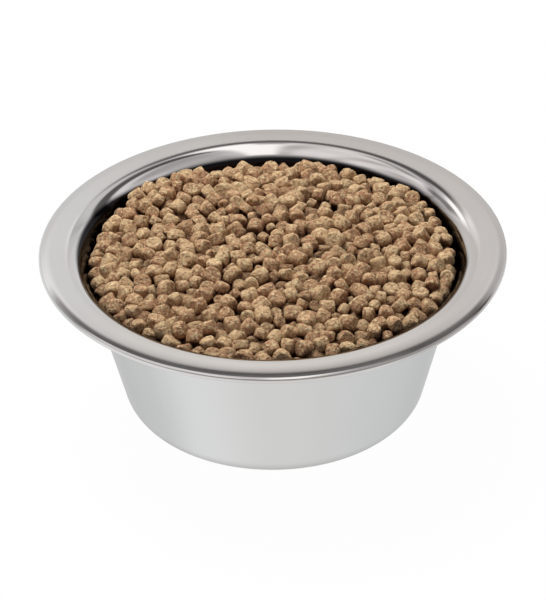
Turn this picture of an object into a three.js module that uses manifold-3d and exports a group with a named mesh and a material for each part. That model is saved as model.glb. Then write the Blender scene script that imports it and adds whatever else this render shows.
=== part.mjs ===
// Stainless steel pet bowl with a wide flange, full of dry kibble.
// Millimetres, +Z up. The origin is the centre of the bowl's flat underside.
import * as THREE from 'three';
import { mergeVertices } from 'three/addons/utils/BufferGeometryUtils.js';
import Module from 'manifold-3d';

// Bowl: one drawn sheet with a flat base, a tapered wall, a rounded lip and a rolled edge
const rimRadius = 110;
const bowlHeight = 83.2;
const sheetThickness = 0.7;
const rollRadius = 1.6;
const rollGap = 0.3;
const flangeWidth = 9.2;
const flangeSlope = 3;
const lipRadius = 11.2;
const wallTaper = 14.2;
const cornerRadius = 13.4;

// Kibble: short barrel-shaped pellets of slightly different sizes
const pelletDiameter = 8.2;
const pelletHeight = 6.8;
const pelletEndDiameter = 6;
const pelletSizeSpread = 0.13;

// Heap: a low dome whose top lies this far below the rim at the wall, before its edge drops away
const heapDepthAtWall = 4.2;
const heapCrown = 9.2;
const edgeDrop = 3;
const edgeWidth = 11;
const pelletWallGap = 1.2;

// Uneven places of the heap: x, y, radius and height of each
const mounds = [[2, 46, 48, 1.8], [28, 78, 26, 3], [66, 50, 36, 3.2], [-58, 62, 42, 5], [-30, -40, 40, 0.6]];

const looseDepth = 13;
const looseFill = 0.67;

// Bed: the settled mass, this far under the heap's top, with a stepped rise in its middle
const bedDepth = 4.7;
const riseSteps = [0.97, 0.85, 0.62, 0.3, 0];
const riseFoot = 2;

// Pellets stand in the bed when their centres lie between these heights above it
const lowestSeat = -0.8;
const highestSeat = 2.1;

// Clearance between separate pieces
const clearance = 0.3;

// Packing: pellets fall a little and push each other apart, many times over
const packingSeed = 4711;
const packingSteps = 90;
const restingSteps = 40;
const stepsPerSearch = 6;
const searchCell = 9.4;
const searchMargin = 1.5;
const fallPerStep = 0.12;

// Fineness: points closer than the weld distance are one
const bowlSegments = 60;
const cornerSteps = 4;
const lipSteps = 5;
const rollSteps = 7;
const riseSides = 30;
const weldDistance = 1e-4;
const pelletSides = 6;
const separatePellets = 48;

const slope = THREE.MathUtils.degToRad(flangeSlope);
const taper = THREE.MathUtils.degToRad(wallTaper);

// A point at a distance from a centre, along a direction measured from straight up,
// positive away from the axis
function around(centre, radius, angle) {
  return new THREE.Vector2(centre.x + radius * Math.sin(angle), centre.y + radius * Math.cos(angle));
}

function arc(centre, radius, from, to, steps) {
  return Array.from({ length: steps + 1 }, (_, i) => around(centre, radius, from + (to - from) * i / steps));
}

// Centres of the three rounds, worked out from the rim inwards
const wallNormal = taper - Math.PI / 2;
const rollCentre = new THREE.Vector2(rimRadius - rollRadius, bowlHeight - rollRadius);
const flangeEdge = around(rollCentre, rollRadius, slope);
const lipStart = new THREE.Vector2(
  flangeEdge.x - flangeWidth * Math.cos(slope), flangeEdge.y + flangeWidth * Math.sin(slope));
const lipCentre = around(lipStart, -lipRadius, slope);
const wallOutside = around(lipCentre, lipRadius - sheetThickness, wallNormal);
const wallInside = around(lipCentre, lipRadius, wallNormal);
const cornerCentre = new THREE.Vector2(
  wallOutside.x - ((wallOutside.y - cornerRadius) * Math.sin(taper) + cornerRadius) / Math.cos(taper),
  cornerRadius);

// Radius of the straight inner wall at a height
function wallRadius(height) {
  return wallInside.x + (height - wallInside.y) * Math.tan(taper);
}

const heapRadius = wallRadius(bowlHeight - heapDepthAtWall);

// Height of the heap's even dome at a radius
function domeHeight(radius) {
  const share = radius / heapRadius;
  const dome = bowlHeight - heapDepthAtWall + heapCrown * (1 - share * share);
  const intoEdge = Math.max(0, (radius - heapRadius + edgeWidth) / edgeWidth);
  return dome - edgeDrop * intoEdge * intoEdge;
}

// Height of the heap's top with its uneven places
function heapHeight(x, y) {
  let height = domeHeight(Math.sqrt(x * x + y * y));
  for (const [moundX, moundY, moundRadius, moundHeight] of mounds) {
    const square = (x - moundX) * (x - moundX) + (y - moundY) * (y - moundY);
    const share = Math.max(0, 1 - square / (moundRadius * moundRadius));
    height += moundHeight * share * share;
  }
  return height;
}

// A profile turned about the bowl's axis
function revolved(outline, segments) {
  const geometry = new THREE.LatheGeometry(outline, segments);
  geometry.rotateX(Math.PI / 2);
  return geometry;
}

// The inner face from the base's middle up to the flange, moved into the bowl by an inset
function innerFace(inset) {
  const base = sheetThickness + inset;
  return [
    new THREE.Vector2(0, base),
    ...arc(cornerCentre, cornerRadius - base, Math.PI, Math.PI / 2 + taper, cornerSteps),
    ...arc(lipCentre, lipRadius + inset, wallNormal, slope, lipSteps),
  ];
}

function bowlGeometry() {
  const rollEnd = 2 * Math.PI - Math.acos((rollRadius - sheetThickness - rollGap) / rollRadius);
  const outline = [
    new THREE.Vector2(0, 0),
    ...arc(cornerCentre, cornerRadius, Math.PI, Math.PI / 2 + taper, cornerSteps),
    ...arc(lipCentre, lipRadius - sheetThickness, wallNormal, slope, lipSteps),
    ...arc(rollCentre, rollRadius - sheetThickness, slope, rollEnd, rollSteps),
    ...arc(rollCentre, rollRadius, rollEnd, slope, rollSteps),
    ...innerFace(0).reverse(),
  ];
  return revolved(outline, bowlSegments);
}

// A repeatable stream of numbers between 0 and 1
function randomStream(seed) {
  let state = seed;
  return () => {
    state = (state * 16807) % 2147483647;
    return state / 2147483647;
  };
}

// A direction spread evenly over the sphere
function randomDirection(random) {
  for (;;) {
    const x = 2 * random() - 1;
    const y = 2 * random() - 1;
    const z = 2 * random() - 1;
    const length = Math.sqrt(x * x + y * y + z * z);
    if (length > 0.1 && length < 1) return new THREE.Vector3(x / length, y / length, z / length);
  }
}

const ballRadius = (pelletDiameter + pelletHeight) / 4;

// Pellets strewn at random through the loose layer, each as a ball with an axis
function strewnPellets() {
  const random = randomStream(packingSeed);
  const layerVolume = Math.PI * heapRadius * heapRadius * looseDepth;
  const count = Math.round(looseFill * layerVolume / (4 / 3 * Math.PI * ballRadius ** 3));
  const pellets = [];
  while (pellets.length < count) {
    const x = heapRadius * (2 * random() - 1);
    const y = heapRadius * (2 * random() - 1);
    const reach = Math.sqrt(x * x + y * y);
    if (reach > heapRadius) continue;
    const size = 1 + pelletSizeSpread * (2 * random() - 1);
    const z = heapHeight(x, y) - looseDepth * random();
    const index = pellets.length;
    pellets.push({ index, x, y, z, size, radius: ballRadius * size, axis: randomDirection(random) });
  }
  return pellets;
}

function closeEnough(a, b) {
  const dx = b.x - a.x;
  const dy = b.y - a.y;
  const dz = b.z - a.z;
  const reach = a.radius + b.radius + searchMargin;
  return dx * dx + dy * dy + dz * dz < reach * reach;
}

// Pairs of pellets that can touch before the next search, found through a grid of cells
function nearPairs(pellets) {
  const cells = new Map();
  for (const pellet of pellets) {
    pellet.cell = [pellet.x, pellet.y, pellet.z].map((value) => Math.floor(value / searchCell));
    const name = pellet.cell.join();
    cells.set(name, [...(cells.get(name) ?? []), pellet]);
  }
  return pellets.flatMap((pellet) => neighbours(pellet, cells).map((other) => [pellet, other]));
}

// Later pellets close to this one, from its cell and the cells around it
function neighbours(pellet, cells) {
  const [i, j, k] = pellet.cell;
  const steps = [-1, 0, 1];
  const names = steps.flatMap((di) => steps.flatMap((dj) => (
    steps.map((dk) => [i + di, j + dj, k + dk].join()))));
  const around = names.flatMap((name) => cells.get(name) ?? []);
  return around.filter((other) => other.index > pellet.index && closeEnough(pellet, other));
}

function pushApart(a, b) {
  const dx = b.x - a.x;
  const dy = b.y - a.y;
  const dz = b.z - a.z;
  const reach = a.radius + b.radius;
  const square = dx * dx + dy * dy + dz * dz;
  if (square >= reach * reach) return;
  const distance = Math.sqrt(square);
  const share = (reach - distance) / (2 * distance);
  a.x -= dx * share;
  a.y -= dy * share;
  a.z -= dz * share;
  b.x += dx * share;
  b.y += dy * share;
  b.z += dz * share;
}

function keepInside(pellet) {
  const reach = Math.sqrt(pellet.x * pellet.x + pellet.y * pellet.y);
  const limit = wallRadius(pellet.z) - pellet.radius - pelletWallGap;
  if (reach > limit) {
    pellet.x *= limit / reach;
    pellet.y *= limit / reach;
  }
  const top = heapHeight(pellet.x, pellet.y);
  pellet.z = Math.min(Math.max(pellet.z, top - looseDepth), top - pellet.radius);
}

function settledPellets() {
  const pellets = strewnPellets();
  let pairs = [];
  for (let step = 0; step < packingSteps + restingSteps; step++) {
    if (step % stepsPerSearch === 0) pairs = nearPairs(pellets);
    if (step < packingSteps) pellets.forEach((pellet) => { pellet.z -= fallPerStep; });
    pairs.forEach(([a, b]) => pushApart(a, b));
    pellets.forEach(keepInside);
  }
  return pellets;
}

// One pellet: a barrel with flat ends, turned to its own axis
function pelletGeometry(pellet, growth = 0) {
  const end = pelletEndDiameter / 2 * pellet.size + growth;
  const middle = pelletDiameter / 2 * pellet.size + growth;
  const top = pelletHeight / 2 * pellet.size + growth;
  const outline = [[0, -top], [end, -top], [middle, 0], [end, top], [0, top]];
  const geometry = revolved(outline.map(([x, y]) => new THREE.Vector2(x, y)), pelletSides);
  const upright = new THREE.Vector3(0, 0, 1);
  geometry.applyQuaternion(new THREE.Quaternion().setFromUnitVectors(upright, pellet.axis));
  return geometry.translate(pellet.x, pellet.y, pellet.z);
}

const wasm = await Module();
wasm.setup();

// A closed geometry as a solid that can be joined and cut
function solid(geometry) {
  const bare = geometry.clone();
  bare.deleteAttribute('normal');
  bare.deleteAttribute('uv');
  const merged = mergeVertices(bare, weldDistance);
  const corners = [];
  for (let i = 0; i < merged.index.count; i += 3) {
    const [a, b, c] = [0, 1, 2].map((step) => merged.index.getX(i + step));
    if (a !== b && b !== c && c !== a) corners.push(a, b, c);
  }
  const vertProperties = new Float32Array(merged.attributes.position.array);
  return new wasm.Manifold(new wasm.Mesh({ numProp: 3, vertProperties, triVerts: new Uint32Array(corners) }));
}

function geometryOf(manifold) {
  const mesh = manifold.getMesh();
  const geometry = new THREE.BufferGeometry();
  geometry.setAttribute('position', new THREE.BufferAttribute(mesh.vertProperties, 3));
  geometry.setIndex(new THREE.BufferAttribute(mesh.triVerts, 1));
  return geometry.toNonIndexed();
}

// The settled mass under the top pellets, clear of the bowl all round, up to the wall's level top
function bedOutline(top) {
  const edge = wallRadius(top) - clearance / Math.cos(taper);
  const face = innerFace(clearance).filter((point) => point.y < top && point.x < edge);
  return [...face, new THREE.Vector2(edge, top), new THREE.Vector2(0, top)];
}

// The rise in the middle of the bed, sunk a little into the mass below
function riseOutline(top) {
  const foot = top - riseFoot;
  const radii = riseSteps.map((share) => heapRadius * share);
  const rise = radii.map((radius) => new THREE.Vector2(radius, domeHeight(radius) - bedDepth));
  return [new THREE.Vector2(0, foot), new THREE.Vector2(radii[0], foot), ...rise];
}

// The rise with its top lifted where the heap is uneven
function riseGeometry(top) {
  const geometry = revolved(riseOutline(top), riseSides);
  const corners = geometry.attributes.position;
  for (let i = 0; i < corners.count; i++) {
    const [x, y, z] = [corners.getX(i), corners.getY(i), corners.getZ(i)];
    const lift = heapHeight(x, y) - domeHeight(Math.hypot(x, y));
    if (z > top - riseFoot / 2) corners.setZ(i, z + lift);
  }
  return geometry;
}

// Room for kibble: everything inside the bowl, up to well above the heap
function roomOutline() {
  const ceiling = bowlHeight + heapCrown + pelletDiameter;
  return [...innerFace(clearance), new THREE.Vector2(lipStart.x, ceiling), new THREE.Vector2(0, ceiling)];
}

function heightAboveBed(pellet) {
  return pellet.z - heapHeight(pellet.x, pellet.y) + bedDepth;
}

function pelletReach(pellet) {
  return Math.max(Math.hypot(pelletEndDiameter, pelletHeight), pelletDiameter) / 2 * pellet.size;
}

// Pellets seated in the bed that touch neither each other nor the wall, highest first
function standingPellets(pellets) {
  const standing = [];
  const highestFirst = [...pellets].sort((a, b) => heightAboveBed(b) - heightAboveBed(a));
  for (const pellet of highestFirst) {
    const room = pelletReach(pellet) + clearance;
    const clearOfWall = Math.hypot(pellet.x, pellet.y) < wallRadius(pellet.z) - room - clearance;
    const clearOfOthers = standing.every((other) => {
      const distance = Math.hypot(other.x - pellet.x, other.y - pellet.y, other.z - pellet.z);
      return distance > room + pelletReach(other);
    });
    const height = heightAboveBed(pellet);
    const seated = height > lowestSeat && height < highestSeat;
    if (seated && clearOfWall && clearOfOthers) standing.push(pellet);
  }
  return standing;
}

// The bed with the other top pellets joined to it, and a seat for each separate pellet
function bedGeometry(joined, separate) {
  const top = domeHeight(heapRadius) - bedDepth;
  let bed = solid(revolved(bedOutline(top), bowlSegments));
  bed = bed.add(solid(riseGeometry(top)));
  for (const pellet of joined) bed = bed.add(solid(pelletGeometry(pellet)));
  bed = bed.intersect(solid(revolved(roomOutline(), bowlSegments)));
  for (const pellet of separate) bed = bed.subtract(solid(pelletGeometry(pellet, clearance)));
  return geometryOf(bed);
}

const steel = { color: 0xc9c8c6, roughness: 0.35, metalness: 1 };
const kibble = { color: 0xa8794e, roughness: 0.9, metalness: 0 };
const group = new THREE.Group();

function addPiece(name, geometry, finish) {
  const mesh = new THREE.Mesh(geometry, new THREE.MeshStandardMaterial(finish));
  mesh.name = name;
  group.add(mesh);
}

// The highest standing pellets are separate pieces, numbered from the largest to the smallest
const standing = standingPellets(settledPellets());
const separate = standing.slice(0, separatePellets).sort((a, b) => b.size - a.size);
const joined = standing.slice(separatePellets);

addPiece('bowl', bowlGeometry(), steel);
addPiece('kibble_bed', bedGeometry(joined, separate), kibble);
separate.forEach((pellet, index) => {
  addPiece(`kibble_${String(index + 1).padStart(2, '0')}`, pelletGeometry(pellet), kibble);
});
export default group;
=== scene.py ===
import math
import random

import bpy
from mathutils import Matrix, Vector


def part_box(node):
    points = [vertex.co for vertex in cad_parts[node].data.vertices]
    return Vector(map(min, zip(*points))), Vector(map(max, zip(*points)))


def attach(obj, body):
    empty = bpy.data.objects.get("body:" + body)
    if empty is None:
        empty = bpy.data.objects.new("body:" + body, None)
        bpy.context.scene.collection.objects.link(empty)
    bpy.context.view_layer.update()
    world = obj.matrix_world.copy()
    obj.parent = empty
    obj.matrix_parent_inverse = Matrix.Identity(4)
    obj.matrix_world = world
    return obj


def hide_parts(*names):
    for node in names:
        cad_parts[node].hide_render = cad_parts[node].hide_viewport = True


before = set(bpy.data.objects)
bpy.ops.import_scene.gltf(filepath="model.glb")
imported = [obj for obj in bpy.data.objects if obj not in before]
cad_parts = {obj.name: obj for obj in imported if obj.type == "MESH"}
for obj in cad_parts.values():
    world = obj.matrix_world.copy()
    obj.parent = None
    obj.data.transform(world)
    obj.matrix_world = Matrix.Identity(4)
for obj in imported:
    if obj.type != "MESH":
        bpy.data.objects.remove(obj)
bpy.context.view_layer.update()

mm = 0.001

# The bowl's sheet, in millimetres and degrees
bowlSizes = {
    "rimRadius": 110.0,
    "height": 83.2,
    "sheet": 0.7,
    "rollRadius": 1.6,
    "rollGap": 0.3,
    "flangeWidth": 9.2,
    "flangeSlope": 3.0,
    "flangeCrown": 0.55,
    "lipRadius": 11.2,
    "wallTaper": 14.2,
    "cornerRadius": 13.4,
    "turns": 192,
    "cornerSteps": 16,
    "lipSteps": 28,
    "lipUnderSteps": 20,
    "flangeSteps": 10,
    "rollSteps": 28,
    "rollInnerSteps": 20,
}

slope = math.radians(bowlSizes["flangeSlope"])
taper = math.radians(bowlSizes["wallTaper"])
wallNormal = taper - math.pi / 2  # where the lip's round meets the wall
wallStart = taper + math.pi / 2  # where the corner's round meets it


def around(centre, radius, angle):
    # the angle is measured from straight up, positive away from the axis
    return (centre[0] + radius * math.sin(angle), centre[1] + radius * math.cos(angle))


def arc(centre, radius, start, end, steps):
    return [around(centre, radius, start + (end - start) * i / steps) for i in range(steps + 1)]


# Centres of the three rounds, from the rim inwards
rollCentre = (
    bowlSizes["rimRadius"] - bowlSizes["rollRadius"],
    bowlSizes["height"] - bowlSizes["rollRadius"],
)
flangeEdge = around(rollCentre, bowlSizes["rollRadius"], slope)
lipStart = (
    flangeEdge[0] - bowlSizes["flangeWidth"] * math.cos(slope),
    flangeEdge[1] + bowlSizes["flangeWidth"] * math.sin(slope),
)
lipCentre = around(lipStart, -bowlSizes["lipRadius"], slope)
wallOutside = around(lipCentre, bowlSizes["lipRadius"] - bowlSizes["sheet"], wallNormal)
wallInside = around(lipCentre, bowlSizes["lipRadius"], wallNormal)
cornerRadius = bowlSizes["cornerRadius"]
cornerReach = ((wallOutside[1] - cornerRadius) * math.sin(taper) + cornerRadius) / math.cos(taper)
cornerCentre = (wallOutside[0] - cornerReach, cornerRadius)


def wallRadius(height):
    return wallInside[0] + (height - wallInside[1]) * math.tan(taper)


def revolve(name, outline, turns):
    # an axis-to-axis outline of (radius, height) in millimetres, turned about Z;
    # a point may also say how far the surface leans inwards there, as a share of a right angle
    vertices, rings, leans = [], [], []
    for radius, height, *lean in outline:
        count = turns if radius > 1e-6 else 1
        rings.append(list(range(len(vertices), len(vertices) + count)))
        for i in range(count):
            angle = 2 * math.pi * i / turns
            x, y = radius * mm * math.cos(angle), radius * mm * math.sin(angle)
            vertices.append((x, y, height * mm))
        leans += (lean or [0.0]) * count
    faces = []
    for low, high in zip(rings, rings[1:]):
        for i in range(turns):
            j = (i + 1) % turns
            corners = ((low, i), (low, j), (high, j), (high, i))
            # a ring at the axis is one point, so its corners fall together
            faces.append(list(dict.fromkeys(ring[place % len(ring)] for ring, place in corners)))
    mesh = bpy.data.meshes.new(name)
    mesh.from_pydata(vertices, [], faces)
    mesh.polygons.foreach_set("use_smooth", [True] * len(mesh.polygons))
    mesh.attributes.new("lean", "FLOAT", "POINT").data.foreach_set("value", leans)
    piece = bpy.data.objects.new(name, mesh)
    bpy.context.scene.collection.objects.link(piece)
    return piece


def flangeFace(depth):
    # the flange from its inner edge outwards, a little steeper towards the roll
    sizes = bowlSizes
    steps = sizes["flangeSteps"]
    points = []
    for i in range(steps + 1):
        share = i / steps
        radius = lipStart[0] + (flangeEdge[0] - lipStart[0]) * share
        height = lipStart[1] + (flangeEdge[1] - lipStart[1]) * share
        bulge = sizes["flangeCrown"] * (share - share ** 4)
        points.append((radius - depth * math.sin(slope), height - depth * math.cos(slope) + bulge))
    return points


def makeBowl():
    sizes = bowlSizes
    rollInside = sizes["rollRadius"] - sizes["sheet"]
    rollEnd = 2 * math.pi - math.acos((rollInside - sizes["rollGap"]) / sizes["rollRadius"])
    corner = arc(cornerCentre, cornerRadius - sizes["sheet"], math.pi, wallStart, sizes["cornerSteps"])
    inner = [(0.0, sizes["sheet"], 1.0)] + [(*point, 1.0) for point in corner]
    for radius, height in arc(lipCentre, sizes["lipRadius"], wallNormal, slope, sizes["lipSteps"])[:-1]:
        lean = math.atan2(lipCentre[0] - radius, height - lipCentre[1]) * 2 / math.pi
        inner.append((radius, height, lean))
    lipUnder = sizes["lipRadius"] - sizes["sheet"]
    outline = [
        (0.0, 0.0),
        *arc(cornerCentre, cornerRadius, math.pi, wallStart, sizes["cornerSteps"]),
        *arc(lipCentre, lipUnder, wallNormal, slope, sizes["lipUnderSteps"])[:-1],
        *flangeFace(sizes["sheet"])[:-1],
        *arc(rollCentre, rollInside, slope, rollEnd, sizes["rollInnerSteps"]),
        *arc(rollCentre, sizes["rollRadius"], rollEnd, slope, sizes["rollSteps"])[:-1],
        *reversed(flangeFace(0.0)),
        *reversed(inner),
    ]
    return revolve("bowlSheet", outline, sizes["turns"])


# The heap of pellets, in millimetres
heapSizes = {
    "diameter": 8.2,
    "height": 6.8,
    "sizeSpread": 0.13,
    "depthAtWall": 4.2,
    "crown": 9.2,
    "edgeDrop": 3.0,
    "edgeWidth": 11.0,
    "wallGap": 1.2,
    "mounds": [  # x, y, radius and height of each
        (2, 46, 48, 1.8), (28, 78, 26, 3.0), (66, 50, 36, 3.2), (-58, 62, 42, 5.0), (-30, -40, 40, 0.6),
    ],
    "looseDepth": 13.0,
    "looseFill": 0.67,
    "clearance": 0.3,
    "seed": 4711,
    "fallSteps": 90,
    "restSteps": 40,
    "stepsPerSearch": 6,
    "searchCell": 9.4,
    "searchMargin": 1.5,
    "fall": 0.12,
}
heapRadius = wallRadius(bowlSizes["height"] - heapSizes["depthAtWall"])
ballRadius = (heapSizes["diameter"] + heapSizes["height"]) / 4


def domeHeight(radius):
    share = radius / heapRadius
    dome = bowlSizes["height"] - heapSizes["depthAtWall"] + heapSizes["crown"] * (1 - share * share)
    intoEdge = max(0, (radius - heapRadius + heapSizes["edgeWidth"]) / heapSizes["edgeWidth"])
    return dome - heapSizes["edgeDrop"] * intoEdge * intoEdge


def heapHeight(x, y):
    # the dome with its uneven places
    height = domeHeight(math.sqrt(x * x + y * y))
    for moundX, moundY, moundRadius, moundHeight in heapSizes["mounds"]:
        square = (x - moundX) * (x - moundX) + (y - moundY) * (y - moundY)
        share = max(0, 1 - square / (moundRadius * moundRadius))
        height += moundHeight * share * share
    return height


def randomStream(seed):
    # the minimal standard generator; the solids draw the same numbers from it
    while True:
        seed = (seed * 16807) % 2147483647
        yield seed / 2147483647


def randomDirection(stream):
    while True:
        x = 2 * next(stream) - 1
        y = 2 * next(stream) - 1
        z = 2 * next(stream) - 1
        length = math.sqrt(x * x + y * y + z * z)
        if 0.1 < length < 1:
            return (x / length, y / length, z / length)


def strewPellets():
    # each pellet is [x, y, z, radius, axis, size]
    sizes = heapSizes
    stream = randomStream(sizes["seed"])
    volume = math.pi * heapRadius * heapRadius * sizes["looseDepth"]
    count = round(sizes["looseFill"] * volume / (4 / 3 * math.pi * ballRadius ** 3))
    pellets = []
    while len(pellets) < count:
        x = heapRadius * (2 * next(stream) - 1)
        y = heapRadius * (2 * next(stream) - 1)
        reach = math.sqrt(x * x + y * y)
        if reach > heapRadius:
            continue
        size = 1 + sizes["sizeSpread"] * (2 * next(stream) - 1)
        z = heapHeight(x, y) - sizes["looseDepth"] * next(stream)
        pellets.append([x, y, z, ballRadius * size, randomDirection(stream), size])
    return pellets


def nearPairs(pellets):
    cell = heapSizes["searchCell"]
    cells = {}
    places = []
    for index, pellet in enumerate(pellets):
        place = tuple(math.floor(value / cell) for value in pellet[:3])
        cells.setdefault(place, []).append(index)
        places.append(place)
    steps = [(i, j, k) for i in (-1, 0, 1) for j in (-1, 0, 1) for k in (-1, 0, 1)]
    pairs = []
    for index, (i, j, k) in enumerate(places):
        a = pellets[index]
        for di, dj, dk in steps:
            for other in cells.get((i + di, j + dj, k + dk), ()):
                if other > index:
                    b = pellets[other]
                    dx, dy, dz = b[0] - a[0], b[1] - a[1], b[2] - a[2]
                    reach = a[3] + b[3] + heapSizes["searchMargin"]
                    if dx * dx + dy * dy + dz * dz < reach * reach:
                        pairs.append((a, b))
    return pairs


def pushApart(a, b):
    dx, dy, dz = b[0] - a[0], b[1] - a[1], b[2] - a[2]
    reach = a[3] + b[3]
    square = dx * dx + dy * dy + dz * dz
    if square >= reach * reach:
        return
    distance = math.sqrt(square)
    share = (reach - distance) / (2 * distance)
    a[0] -= dx * share
    a[1] -= dy * share
    a[2] -= dz * share
    b[0] += dx * share
    b[1] += dy * share
    b[2] += dz * share


def keepInside(pellet):
    reach = math.sqrt(pellet[0] * pellet[0] + pellet[1] * pellet[1])
    limit = wallRadius(pellet[2]) - pellet[3] - heapSizes["wallGap"]
    if reach > limit:
        pellet[0] *= limit / reach
        pellet[1] *= limit / reach
    top = heapHeight(pellet[0], pellet[1])
    pellet[2] = min(max(pellet[2], top - heapSizes["looseDepth"]), top - pellet[3])


def settlePellets():
    pellets = strewPellets()
    for step in range(heapSizes["fallSteps"] + heapSizes["restSteps"]):
        if step % heapSizes["stepsPerSearch"] == 0:
            pairs = nearPairs(pellets)
        if step < heapSizes["fallSteps"]:
            for pellet in pellets:
                pellet[2] -= heapSizes["fall"]
        for a, b in pairs:
            pushApart(a, b)
        for pellet in pellets:
            keepInside(pellet)
    return pellets


pelletLook = {
    "turns": 11,
    "diameter": 7.9,
    "length": 6.1,
    "girthSpread": 0.1,
    "lengthSpread": 0.28,
    "ovalSpread": 0.12,
    "crumbShare": 0.12,
    "crumbSize": 0.68,
    "lumpSize": 4.6,
    "lumpHeight": 1.0,
    "seed": 20,
    # half of the drum's outline: radius and height, as shares
    "outline": [(0.74, 1.0), (0.92, 0.88), (1.0, 0.58)],
}


def makePelletShape():
    # one drum of unit radius and unit half height, with rounded rims and flat ends
    half = pelletLook["outline"]
    profile = half + [(radius, -height) for radius, height in reversed(half)]
    turns = pelletLook["turns"]
    vertices = []
    for radius, height in profile:
        for i in range(turns):
            angle = 2 * math.pi * i / turns
            vertices.append((radius * math.cos(angle), radius * math.sin(angle), height))
    last = (len(profile) - 1) * turns
    faces = [tuple(range(turns)), tuple(range(last + turns - 1, last - 1, -1))]
    for upper in range(0, last, turns):
        for i in range(turns):
            j = (i + 1) % turns
            faces.append((upper + i, upper + turns + i, upper + turns + j, upper + j))
    mesh = bpy.data.meshes.new("pelletShape")
    mesh.from_pydata(vertices, [], faces)
    mesh.polygons.foreach_set("use_smooth", [True] * len(mesh.polygons))
    for edge in mesh.edges:
        low, high = sorted(edge.vertices)
        edge.use_edge_sharp = high < turns or low >= last
    return bpy.data.objects.new("pelletShape", mesh)


def lumpInputs():
    look = pelletLook
    return {
        "Lump size": look["lumpSize"] * mm,
        "Lump height": look["lumpHeight"] * mm,
        "Seed": float(look["seed"]),
    }


def pelletTree(shape, material):
    tree = bpy.data.node_groups.new("scatterPellets", "GeometryNodeTree")
    face = tree.interface
    face.new_socket("Geometry", in_out="INPUT", socket_type="NodeSocketGeometry")
    for name, value in lumpInputs().items():
        face.new_socket(name, in_out="INPUT", socket_type="NodeSocketFloat").default_value = value
    face.new_socket("Geometry", in_out="OUTPUT", socket_type="NodeSocketGeometry")
    nodes, links = tree.nodes, tree.links

    def node(kind, settings=None, inputs=None):
        made = nodes.new(kind)
        for key, value in (settings or {}).items():
            setattr(made, key, value)
        for key, value in (inputs or {}).items():
            if isinstance(value, bpy.types.NodeSocket):
                links.new(value, made.inputs[key])
            else:
                made.inputs[key].default_value = value
        return made

    def attribute(name, kind):
        found = node("GeometryNodeInputNamedAttribute", {"data_type": kind}, {"Name": name})
        return found.outputs["Attribute"]

    given = nodes.new("NodeGroupInput")
    result = nodes.new("NodeGroupOutput")
    drum = node("GeometryNodeObjectInfo", inputs={"Object": shape})
    aligned = node("FunctionNodeAlignRotationToVector", {"axis": "Z"}, {
        "Vector": attribute("axis", "FLOAT_VECTOR")})
    spin = node("FunctionNodeAxisAngleToRotation", inputs={
        "Axis": (0, 0, 1), "Angle": attribute("spin", "FLOAT")})
    turned = node("FunctionNodeRotateRotation", {"rotation_space": "LOCAL"}, {
        "Rotation": aligned.outputs[0], "Rotate By": spin.outputs[0]})
    placed = node("GeometryNodeInstanceOnPoints", inputs={
        "Points": given.outputs["Geometry"], "Instance": drum.outputs["Geometry"],
        "Rotation": turned.outputs[0], "Scale": attribute("shape", "FLOAT_VECTOR")})
    real = node("GeometryNodeRealizeInstances", inputs={"Geometry": placed.outputs[0]})
    size = node("ShaderNodeMath", {"operation": "DIVIDE"}, {0: 1.0, 1: given.outputs["Lump size"]})
    noise = node("ShaderNodeTexNoise", {"noise_dimensions": "4D"}, {
        "Vector": node("GeometryNodeInputPosition").outputs[0], "W": given.outputs["Seed"],
        "Scale": size.outputs[0], "Detail": 1.5, "Roughness": 0.5})
    centred = node("ShaderNodeMath", {"operation": "SUBTRACT"}, {0: noise.outputs[0], 1: 0.5})
    height = node("ShaderNodeMath", {"operation": "MULTIPLY"}, {
        0: centred.outputs[0], 1: given.outputs["Lump height"]})
    offset = node("ShaderNodeVectorMath", {"operation": "SCALE"}, {
        0: node("GeometryNodeInputNormal").outputs[0], "Scale": height.outputs[0]})
    lumpy = node("GeometryNodeSetPosition", inputs={
        "Geometry": real.outputs[0], "Offset": offset.outputs[0]})
    # the normal's height, from which the material paints shade on the pellets' sides and undersides
    facing = node("ShaderNodeSeparateXYZ", inputs={0: node("GeometryNodeInputNormal").outputs[0]})
    marked = node("GeometryNodeStoreNamedAttribute", {"data_type": "FLOAT", "domain": "POINT"}, {
        "Geometry": lumpy.outputs[0], "Name": "facingUp", "Value": facing.outputs[2]})
    dressed = node("GeometryNodeSetMaterial", inputs={
        "Geometry": marked.outputs[0], "Material": material})
    links.new(dressed.outputs[0], result.inputs[0])
    return tree


def inputId(tree, name):
    return next(item.identifier for item in tree.interface.items_tree
                if item.item_type == "SOCKET" and item.in_out == "INPUT" and item.name == name)


def makePellets(name, pellets, tree):
    # turns points that carry each pellet's axis, proportions and tint into one plain mesh
    points = bpy.data.meshes.new(name + "Points")
    points.from_pydata([[value * mm for value in pellet["at"]] for pellet in pellets], [], [])
    for key in ("axis", "shape"):
        layer = points.attributes.new(key, "FLOAT_VECTOR", "POINT")
        layer.data.foreach_set("vector", [value for pellet in pellets for value in pellet[key]])
    for key in ("spin", "tint", "depth", "middle"):
        layer = points.attributes.new(key, "FLOAT", "POINT")
        layer.data.foreach_set("value", [pellet[key] for pellet in pellets])
    source = bpy.data.objects.new(name + "Source", points)
    bpy.context.scene.collection.objects.link(source)
    scatter = source.modifiers.new("scatter", "NODES")
    scatter.node_group = tree
    for key, value in lumpInputs().items():
        scatter[inputId(tree, key)] = value
    graph = bpy.context.evaluated_depsgraph_get()
    mesh = bpy.data.meshes.new_from_object(source.evaluated_get(graph), depsgraph=graph)
    mesh.name = name
    bpy.data.objects.remove(source)
    piece = bpy.data.objects.new(name, mesh)
    bpy.context.scene.collection.objects.link(piece)
    return piece


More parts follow.
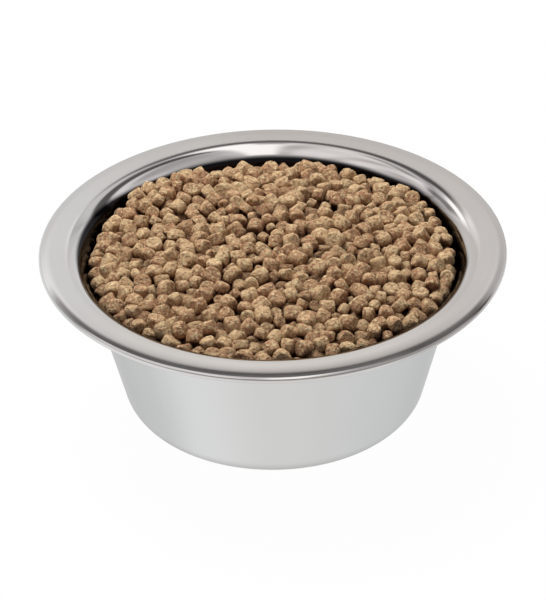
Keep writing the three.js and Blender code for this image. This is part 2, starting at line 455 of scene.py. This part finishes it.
def dressPellets(pellets, whole):
    # gives every settled pellet its own proportions, turn and tint; those in whole are never crumbs
    dice = random.Random(pelletLook["seed"])
    dressed = []
    for index, (x, y, z, _, axis, size) in enumerate(pellets):
        girth = 1 + pelletLook["girthSpread"] * dice.uniform(-1, 1)
        length = 1 + pelletLook["lengthSpread"] * dice.uniform(-1, 1)
        oval = 1 + pelletLook["ovalSpread"] * dice.uniform(-1, 1)
        if dice.random() < pelletLook["crumbShare"] and index not in whole:
            size *= pelletLook["crumbSize"]
        across = size * girth * pelletLook["diameter"] / 2 * mm
        dressed.append({
            "at": (x, y, z), "axis": axis, "spin": dice.uniform(0, 2 * math.pi),
            "shape": (across * oval, across / oval, size * length * pelletLook["length"] / 2 * mm),
            # depth below the heap's top, which the material turns into painted shade
            "tint": dice.random(), "depth": (heapHeight(x, y) - z) / heapSizes["looseDepth"],
            "middle": z * mm,
        })
    return dressed


# Shader maths: one wrapped socket, and one method that makes any other node
class Wire:
    def __init__(self, tree, socket):
        self.tree = tree
        self.socket = socket

    def math(self, operation, *others):
        node = self.tree.nodes.new("ShaderNodeMath")
        node.operation = operation
        for slot, value in zip(node.inputs, (self, *others)):
            plug(self.tree, value, slot)
        return Wire(self.tree, node.outputs[0])

    def __add__(self, other):
        return self.math("ADD", other)

    def __radd__(self, other):
        return self.math("ADD", other)

    def __mul__(self, other):
        return self.math("MULTIPLY", other)

    def __rmul__(self, other):
        return self.math("MULTIPLY", other)

    def __sub__(self, other):
        return self.math("SUBTRACT", other)

    def __rsub__(self, other):
        return (self * -1) + other

    def __truediv__(self, other):
        return self.math("DIVIDE", other)

    def __pow__(self, other):
        return self.math("POWER", other)


def plug(tree, value, slot):
    if isinstance(value, Wire):
        tree.links.new(value.socket, slot)
    else:
        slot.default_value = value


class Finish:
    # the nodes of one material or world
    def __init__(self, owner):
        owner.use_nodes = True
        self.tree = owner.node_tree
        self.tree.nodes.clear()

    def node(self, kind, settings=None, inputs=None, output=0):
        made = self.tree.nodes.new(kind)
        for key, value in (settings or {}).items():
            if key == "stops":
                self.setStops(made.color_ramp, value)
            else:
                setattr(made, key, value)
        for key, value in (inputs or {}).items():
            plug(self.tree, value, made.inputs[key])
        return Wire(self.tree, made.outputs[output]) if made.outputs else made

    def setStops(self, ramp, stops):
        ramp.interpolation = "EASE"
        while len(ramp.elements) < len(stops):
            ramp.elements.new(1.0)
        for element, (place, colour) in zip(ramp.elements, stops):
            element.position = place
            element.color = colour

    def blend(self, factor, a, b):
        settings = {"data_type": "RGBA", "clamp_factor": True}
        return self.node("ShaderNodeMix", settings, {0: factor, 6: a, 7: b}, 2)

    def parts(self, vector):
        node = self.node("ShaderNodeSeparateXYZ", inputs={0: vector}).socket.node
        return [Wire(self.tree, output) for output in node.outputs]

    def rays(self, *kinds):
        # one for a ray of any of these kinds
        outputs = self.node("ShaderNodeLightPath").socket.node.outputs
        found = Wire(self.tree, outputs[kinds[0]])
        for kind in kinds[1:]:
            found = found.math("MAXIMUM", Wire(self.tree, outputs[kind]))
        return found

    def step(self, value, start, full):
        # eases from nothing at the start to one
        settings = {"interpolation_type": "SMOOTHSTEP"}
        inputs = {"Value": value, "From Min": start, "From Max": full}
        return self.node("ShaderNodeMapRange", settings, inputs)


# The steel's colours run from the left side round the front to the right side; their change round the
# bowl is painted reflection. The front flange's lighter inner part and the dark band on the rolled edge
# are painted reflection too, and the wall's darker foot is painted shade. Each pair says where a change
# starts and where
# it is full: radii and heights in millimetres, ways round as x or y over the radius, and leans as
# shares of a right angle.
steelLook = {
    "rim": [
        (0.0, (0.75, 0.755, 0.76, 1)), (0.25, (0.69, 0.68, 0.67, 1)), (0.5, (0.635, 0.61, 0.595, 1)),
        (0.8, (0.65, 0.625, 0.61, 1)), (1.0, (0.67, 0.65, 0.64, 1)),
    ],
    "wall": [
        (0.0, (0.50, 0.505, 0.505, 1)), (0.12, (0.59, 0.595, 0.595, 1)),
        (0.27, (0.715, 0.72, 0.72, 1)), (0.5, (0.655, 0.653, 0.64, 1)),
        (0.85, (0.60, 0.61, 0.61, 1)), (1.0, (0.53, 0.535, 0.535, 1)),
    ],
    "rimHeight": (78.0, 80.0),
    "frontReflection": (0.78, 0.76, 0.74, 1),
    "frontSpan": (-0.45, -0.9),
    "frontWidth": 5.5,
    "foot": (0.36, 0.36, 0.35, 1),
    "footHeight": (11.0, 1.0),
    "footShare": 0.7,
    "edgeTint": (0.8, 0.8, 0.8, 1),
    "satin": 0.25,
    "polished": 0.07,
    "lipPolish": (0.03, 0.17),
    "edgePolish": 0.11,
    "edgeRadius": (104.0, 107.0),
    "cloudScale": 26.0,
    "cloudSpread": 0.08,
    "lineSpread": 0.04,
    "lineSpacing": 0.35,
    "lineHeight": 0.003,
    "lineStrength": 0.02,
    "lineFades": 1.3,
    # the painted dark reflection along the rolled edge; each side has its start, its end and its
    # strength
    "band": (0.15, 0.145, 0.14, 1),
    "bandRadius": (106.0, 107.8),
    "bandFade": (108.8, 109.8),
    "bandFadeShare": 0.6,
    "bandFront": (0.0, -20.0),
    "bandSides": [((0.42, 0.62), (0.96, 0.85), 0.9), ((-0.68, -0.84), (-0.97, -0.9), 0.6)],
    # the lean at which the heap's shade begins at the front, and how much later further back
    "shade": (0.016, 0.015, 0.018, 1),
    "shadeStart": 0.18,
    "shadeLater": [((-0.8, -0.2), 0.14), ((0.3, 0.85), 0.20)],
    "shadeWidth": 0.14,
    "shadeRight": ((0.75, 0.97), (-0.2, 0.15)),
    "shadeRightLater": 0.08,
    "shadeRightWider": 0.24,
}


def steelMaterial():
    look = steelLook
    material = bpy.data.materials.new("satinSteel")
    finish = Finish(material)
    place = finish.node("ShaderNodeTexCoord", output=3)
    x, y, z = finish.parts(place)
    radius = (x * x + y * y) ** 0.5 + 0.00001  # never zero
    across, ahead = x / radius, y / radius
    reach, height = radius / mm, z / mm
    lean = finish.node("ShaderNodeAttribute", {"attribute_name": "lean"}, output=2)

    # fine turned lines run round the axis, and fade in and out along the way
    line = 1 / (look["lineSpacing"] * mm)
    grain = finish.node("ShaderNodeCombineXYZ", inputs={
        0: radius * line, 1: z * line, 2: y.math("ARCTAN2", x) * look["lineFades"]})
    lines = finish.node("ShaderNodeTexNoise", {}, {
        "Vector": grain, "Scale": 1.0, "Detail": 3.0, "Roughness": 0.6})
    cloud = finish.node("ShaderNodeTexNoise", {}, {
        "Vector": place, "Scale": look["cloudScale"], "Detail": 2.0})
    satin = look["satin"] + (lines - 0.5) * look["lineSpread"] + (cloud - 0.5) * look["cloudSpread"]
    satin = satin - finish.step(reach, *look["edgeRadius"]) * look["edgePolish"]
    polish = finish.step(lean, *look["lipPolish"])
    roughness = satin - polish * (look["satin"] - look["polished"])
    bump = finish.node("ShaderNodeBump", {}, {
        "Strength": look["lineStrength"], "Distance": look["lineHeight"] * mm, "Height": lines})

    # painted reflection: the rim's and the wall's tones change round the bowl from the left side to the
    # right side
    side = across * 0.5 + 0.5
    rim = finish.node("ShaderNodeValToRGB", {"stops": look["rim"]}, {0: side})
    # painted reflection: the front of the flange is lighter towards the lip
    inward = finish.step(reach, lipStart[0] + look["frontWidth"], lipStart[0])
    rim = finish.blend(inward * finish.step(ahead, *look["frontSpan"]), rim, look["frontReflection"])
    wall = finish.node("ShaderNodeValToRGB", {"stops": look["wall"]}, {0: side})
    # painted shade: the wall darkens towards the floor
    foot = finish.step(height, *look["footHeight"]) * look["footShare"]
    wall = finish.blend(foot, wall, look["foot"])

    # a painted dark reflection follows the rolled edge as a band at the front's two sides, most of all
    # at the right
    band = finish.step(reach, *look["bandRadius"]) * finish.step(y / mm, *look["bandFront"])
    band = band * (1 - finish.step(reach, *look["bandFade"]) * look["bandFadeShare"])
    right, left = [
        finish.step(across, *start) * finish.step(across, *end) * strength
        for start, end, strength in look["bandSides"]
    ]
    rim = finish.blend(band * (right + left), rim, look["band"])
    colour = finish.blend(finish.step(height, *look["rimHeight"]), wall, rim)

    # the lip's foot lies in the heap's shade, which reaches highest at the front
    sideSpan, frontSpan = look["shadeRight"]
    right = finish.step(across, *sideSpan) * finish.step(ahead, *frontSpan)
    start = look["shadeStart"] + right * look["shadeRightLater"]
    for span, later in look["shadeLater"]:
        start = start + finish.step(ahead, *span) * later
    width = look["shadeWidth"] + right * look["shadeRightWider"]
    shade = finish.step((lean - start) / width, 0.0, 1.0)
    colour = finish.blend(shade, colour, look["shade"])
    shader = finish.node("ShaderNodeBsdfPrincipled", {}, {
        "Base Color": colour, "Metallic": 1.0, "Specular Tint": look["edgeTint"],
        "Roughness": roughness, "Normal": bump})
    finish.node("ShaderNodeOutputMaterial", {}, {"Surface": shader})
    return material


kibbleLook = {
    "light": (0.59, 0.405, 0.228, 1),
    "dark": (0.375, 0.192, 0.104, 1),
    "toastSpan": (0.1, 0.85),
    "toastShares": {"tint": 0.45, "patch": 0.45, "grain": 1.8},
    "roughness": 0.85,
    "gloss": 0.25,
    "bumpHeight": 1.0,
    "bumpShares": {"grain": 0.8, "fleck": 0.5, "pit": -0.5},
    # noises: size in millimetres, detail, and a shift that keeps each from the others
    "noiseRoughness": 0.65,
    "noises": {
        "grain": (1.5, 3.0, 0), "fleck": (1.5, 2.0, 1), "pit": (1.6, 2.0, 2), "patch": (4.5, 1.0, 3),
    },
    # layers over the baked colour, in order: what steers each, where it starts and is full, strength
    # and colour.
    # Fleck and pit are the kibble's own specks; the other four are painted shade on the pellets' sides,
    # undersides and lower halves and on the pellets deeper in the heap
    "layers": {
        "side": ("facingUp", 0.8, -0.2, 0.6, (0.27, 0.114, 0.058, 1)),
        "fleck": ("fleck", 0.50, 0.64, 0.55, (0.78, 0.66, 0.39, 1)),
        "pit": ("pit", 0.50, 0.70, 0.5, (0.17, 0.075, 0.044, 1)),
        "under": ("facingUp", 0.2, -0.55, 0.9, (0.10, 0.034, 0.018, 1)),
        "low": ("rise", 0.0, -0.8, 0.75, (0.10, 0.034, 0.018, 1)),
        "gap": ("depth", 0.4, 0.75, 0.95, (0.085, 0.032, 0.017, 1)),
    },
}


def kibbleMaterial():
    look = kibbleLook
    material = bpy.data.materials.new("bakedKibble")
    finish = Finish(material)
    place = finish.node("ShaderNodeTexCoord", output=3)
    fields = {}
    for name in ("tint", "facingUp", "depth", "middle"):
        fields[name] = finish.node("ShaderNodeAttribute", {"attribute_name": name}, output=2)
    for name, (size, detail, shift) in look["noises"].items():
        moved = finish.node("ShaderNodeVectorMath", {"operation": "ADD"}, {0: place, 1: (shift,) * 3})
        fields[name] = finish.node("ShaderNodeTexNoise", {}, {
            "Vector": moved, "Scale": 1 / (size * mm), "Detail": detail,
            "Roughness": look["noiseRoughness"]})
    # how high a point lies on its pellet, from minus one to one; the lower half gets painted shade from
    # it
    pelletRadius = pelletLook["diameter"] / 2 * mm
    fields["rise"] = (finish.parts(place)[2] - fields["middle"]) / pelletRadius

    shares = look["toastShares"]
    toast = fields["tint"] * shares["tint"] + fields["patch"] * shares["patch"]
    toast = toast + (fields["grain"] - 0.5) * shares["grain"]
    colour = finish.blend(finish.step(toast, *look["toastSpan"]), look["light"], look["dark"])
    steps = {}
    for name, (field, start, full, strength, shade) in look["layers"].items():
        steps[name] = finish.step(fields[field], start, full)
        colour = finish.blend(steps[name] * strength, colour, shade)
    shares = look["bumpShares"]
    height = fields["grain"] * shares["grain"] + fields["fleck"] * shares["fleck"]
    height = height + steps["pit"] * shares["pit"]
    bump = finish.node("ShaderNodeBump", {}, {
        "Strength": 1.0, "Distance": look["bumpHeight"] * mm, "Height": height})
    shader = finish.node("ShaderNodeBsdfPrincipled", {}, {
        "Base Color": colour, "Roughness": look["roughness"],
        "Specular IOR Level": look["gloss"], "Normal": bump})
    finish.node("ShaderNodeOutputMaterial", {}, {"Surface": shader})
    return material


coreSizes = {"turns": 96, "cornerSteps": 8, "domeSteps": 12}


def makeKibbleCore():
    # the settled mass below the loose layer, clear of the sheet all round
    sizes = coreSizes
    inset = heapSizes["clearance"]
    base = bowlSizes["sheet"] + inset
    drop = heapSizes["looseDepth"]
    top = domeHeight(heapRadius) - drop
    edge = wallRadius(top) - inset / math.cos(taper)
    corner = arc(cornerCentre, cornerRadius - base, math.pi, wallStart, sizes["cornerSteps"])
    dome = []
    for step in range(sizes["domeSteps"], -1, -1):
        radius = edge * step / sizes["domeSteps"]
        dome.append((radius, domeHeight(radius) - drop))
    core = revolve("kibbleCore", [(0.0, base), *corner, *dome], sizes["turns"])
    # a depth of one paints the whole core in the dark painted shade of the heap's gaps
    depth = core.data.attributes.new("depth", "FLOAT", "POINT")
    depth.data.foreach_set("value", [1.0] * len(core.data.vertices))
    return core


studio = {
    "floorWidth": 6.0,
    "floorColour": (0.85, 0.85, 0.85, 1),
    "floorShadow": 0.02,
    "ambient": 0.36,
    "keyPower": 22.0,
    "keySize": 0.9,
    "keyPlace": (-0.3, 0.5, 1.25),
    "keyTarget": (0, 0, 0.06),
}
white = (1, 1, 1, 1)

# What the steel mirrors. Angles are in degrees, from the far horizon over the top to the near one;
# x runs across the view from minus one to one. A pair says where a change starts and where it is full.
skyLook = {
    "stops": [
        (0, (0.10, 0.08, 0.07)), (3, (0.20, 0.18, 0.17)), (8, (0.84, 0.82, 0.80)),
        (22, (0.78, 0.76, 0.74)), (28, (0.76, 0.73, 0.71)), (33, (0.98, 0.96, 0.94)),
        (36, (1.14, 1.11, 1.09)), (41, (0.56, 0.53, 0.51)), (45, (0.12, 0.11, 0.11)),
        (53, (0.12, 0.12, 0.12)), (60, (0.74, 0.71, 0.71)), (66, (0.86, 0.83, 0.83)),
        (85, (0.66, 0.63, 0.63)), (110, (0.84, 0.82, 0.82)), (128, (0.66, 0.64, 0.63)),
        (144, (0.26, 0.25, 0.25)), (156, (0.48, 0.47, 0.46)), (180, (0.60, 0.59, 0.58)),
    ],
    "leftGlow": (0.86, 0.86, 0.86, 1),
    "leftSpan": (-0.12, -0.4),
    "leftHeight": (0.3, 0.1),
    "bandCover": (0.70, 0.68, 0.67, 1),
    "bandRight": (0.12, 0.22),
    "bandLeft": (-0.3, -0.42),
    "bandFrom": (30, 36),
    "bandTo": (60, 52),
    "slantAngle": 82,
    "slantPerX": 50,
    "slantWidth": (14, 6),
    # soft boxes and dark strips: middle and half width across, lowest and highest angle, strength
    "softBoxes": [
        (0.07, 0.10, 62, 128, 1.0), (-0.28, 0.12, 62, 128, 0.35), (-0.60, 0.07, 62, 128, 0.3),
        (-0.48, 0.07, 33, 48, 1.0),
    ],
    "softBoxGlow": (1.5, 1.49, 1.48, 1),
    "darkStrips": [
        (-0.37, 0.13, 63, 70, 0.7), (0.0, 0.03, 55, 71, 0.6), (0.34, 0.16, 29, 38, 0.3),
        (-0.67, 0.07, 38, 62, 0.7), (0.50, 0.20, 75, 150, 0.35),
    ],
    "stripShade": (0.12, 0.11, 0.11, 1),
    "panelSides": (1.5, 0.7),
    "panelEdge": 4,
}


def makeFloor():
    half = studio["floorWidth"] / 2
    corners = [(-half, -half, 0), (half, -half, 0), (half, half, 0), (-half, half, 0)]
    mesh = bpy.data.meshes.new("floor")
    mesh.from_pydata(corners, [], [(0, 1, 2, 3)])
    floor = bpy.data.objects.new("floor", mesh)
    bpy.context.scene.collection.objects.link(floor)
    material = bpy.data.materials.new("paleFloor")
    finish = Finish(material)
    seen = finish.rays("Is Camera Ray", "Is Glossy Ray", "Is Transmission Ray")
    matt = finish.node("ShaderNodeBsdfDiffuse", {}, {"Color": studio["floorColour"]})
    glow = finish.node("ShaderNodeEmission", {}, {"Color": white, "Strength": 1.0})
    mixed = finish.node("ShaderNodeMixShader", {}, {
        0: seen * (1 - studio["floorShadow"]), 1: matt, 2: glow})
    finish.node("ShaderNodeOutputMaterial", {}, {"Surface": mixed})
    mesh.materials.append(material)


def makeWorld():
    look = skyLook
    world = bpy.data.worlds.new("studio")
    bpy.context.scene.world = world
    finish = Finish(world)
    x, y, z = finish.parts(finish.node("ShaderNodeTexCoord", output=0))
    turn = z.math("ARCTAN2", y) * (180 / math.pi)
    stops = [(angle / 180, (*colour, 1)) for angle, colour in look["stops"]]
    sky = finish.node("ShaderNodeValToRGB", {"stops": stops}, {0: turn / 180})
    # the far left stays light down to the horizon
    left = finish.step(x, *look["leftSpan"]) * finish.step(z, *look["leftHeight"])
    sky = finish.blend(left, sky, look["leftGlow"])
    # the low dark band stops short of both sides; to the right a slanting one takes over
    right = finish.step(x, *look["bandRight"])
    sides = right.math("MAXIMUM", finish.step(x, *look["bandLeft"]))
    band = finish.step(turn, *look["bandFrom"]) * finish.step(turn, *look["bandTo"])
    sky = finish.blend(sides * band, sky, look["bandCover"])
    slant = (turn + x * look["slantPerX"] - look["slantAngle"]).math("ABSOLUTE")
    sky = finish.blend(right * finish.step(slant, *look["slantWidth"]), sky, look["stripShade"])
    outer, inner = look["panelSides"]
    soft = look["panelEdge"]
    panels = [(panel, look["softBoxGlow"]) for panel in look["softBoxes"]]
    panels += [(panel, look["stripShade"]) for panel in look["darkStrips"]]
    for (middle, width, low, high, strength), colour in panels:
        across = finish.step((x - middle).math("ABSOLUTE"), width * outer, width * inner)
        bottom = finish.step(turn, low - soft, low + soft)
        top = finish.step(turn, high + soft, high - soft)
        sky = finish.blend(across * bottom * top * strength, sky, colour)
    ambient = (studio["ambient"],) * 3 + (1,)
    colour = finish.blend(finish.rays("Is Glossy Ray"), ambient, sky)
    colour = finish.blend(finish.rays("Is Camera Ray"), colour, white)
    background = finish.node("ShaderNodeBackground", {}, {"Color": colour, "Strength": 1.0})
    finish.node("ShaderNodeOutputWorld", {}, {"Surface": background})


def addLamp(name, place, target, size, power):
    light = bpy.data.lights.new(name, "AREA")
    light.shape = "DISK"
    light.size = size
    light.energy = power
    lamp = bpy.data.objects.new(name, light)
    lamp.location = place
    lamp.visible_glossy = False  # the steel mirrors the world's soft boxes instead
    lamp.rotation_euler = (Vector(target) - Vector(place)).to_track_quat("-Z", "Y").to_euler()
    bpy.context.scene.collection.objects.link(lamp)


# The photograph's view: the rim's outer radius and centre in its pixels, how far the camera stands in
# rim radii, and its angles in degrees
cameraSizes = {
    "frameWidth": 546,
    "frameHeight": 600,
    "rimPixels": 234.0,
    "rimCentre": (272.6, 247.2),
    "distanceInRims": 16.0,
    "elevation": 32.3,
    "roll": 0.87,
    "sensorHeight": 36,
    "nearest": 0.05,
}


def makeCamera():
    sizes = cameraSizes
    distance = sizes["distanceInRims"] * bowlSizes["rimRadius"] * mm
    elevation = math.radians(sizes["elevation"])
    target = Vector((0, 0, bowlSizes["height"] * mm))
    eye = target + distance * Vector((0, -math.cos(elevation), math.sin(elevation)))
    focalPixels = sizes["distanceInRims"] * sizes["rimPixels"]
    data = bpy.data.cameras.new("camera")
    data.sensor_fit = "VERTICAL"
    data.sensor_height = sizes["sensorHeight"]
    data.lens = data.sensor_height * focalPixels / sizes["frameHeight"]
    data.clip_start = sizes["nearest"]
    camera = bpy.data.objects.new("camera", data)
    # tipped and turned until the rim's centre stands where the photograph has it
    tipDown = math.atan((sizes["frameHeight"] / 2 - sizes["rimCentre"][1]) / focalPixels)
    turnRight = math.atan((sizes["frameWidth"] / 2 - sizes["rimCentre"][0]) / focalPixels)
    facing = (target - eye).to_track_quat("-Z", "Y").to_matrix().to_4x4()
    nudge = Matrix.Rotation(-tipDown, 4, "X") @ Matrix.Rotation(-turnRight, 4, "Y")
    roll = Matrix.Rotation(-math.radians(sizes["roll"]), 4, "Z")
    camera.matrix_world = Matrix.Translation(eye) @ facing @ roll @ nudge
    bpy.context.scene.collection.objects.link(camera)
    bpy.context.scene.camera = camera


def nearestPellet(place):
    return min(range(len(settled)), key=lambda index: (Vector(settled[index][:3]) - place).length)


makeCamera()
makeFloor()
makeWorld()
addLamp("keyLight", studio["keyPlace"], studio["keyTarget"], studio["keySize"], studio["keyPower"])
bpy.context.scene.view_settings.view_transform = "Standard"
print("camera, floor and lights made")

steel = steelMaterial()
kibble = kibbleMaterial()
bowl = makeBowl()
bowl.data.materials.append(steel)
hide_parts("bowl")
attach(bowl, "root")
print("bowl made")

settled = settlePellets()
single = {}
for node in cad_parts:
    if node.startswith("kibble_") and node != "kibble_bed":
        low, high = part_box(node)
        single[node] = nearestPellet((Vector(low) + Vector(high)) / 2 / mm)
dressed = dressPellets(settled, set(single.values()))
print("settled", len(settled), "pellets")

scatterTree = pelletTree(makePelletShape(), kibble)
heap = [pellet for index, pellet in enumerate(dressed) if index not in single.values()]
pieces = [(makePellets("kibbleHeap", heap, scatterTree), "kibble_bed")]
for node, index in single.items():
    pieces.append((makePellets(node.replace("kibble_", "pellet"), [dressed[index]], scatterTree), node))
kibbleCore = makeKibbleCore()
kibbleCore.data.materials.append(kibble)
pieces.append((kibbleCore, "kibble_bed"))
for piece, node in pieces:
    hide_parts(node)
    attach(piece, "root")
print("kibble made in", len(pieces), "pieces")
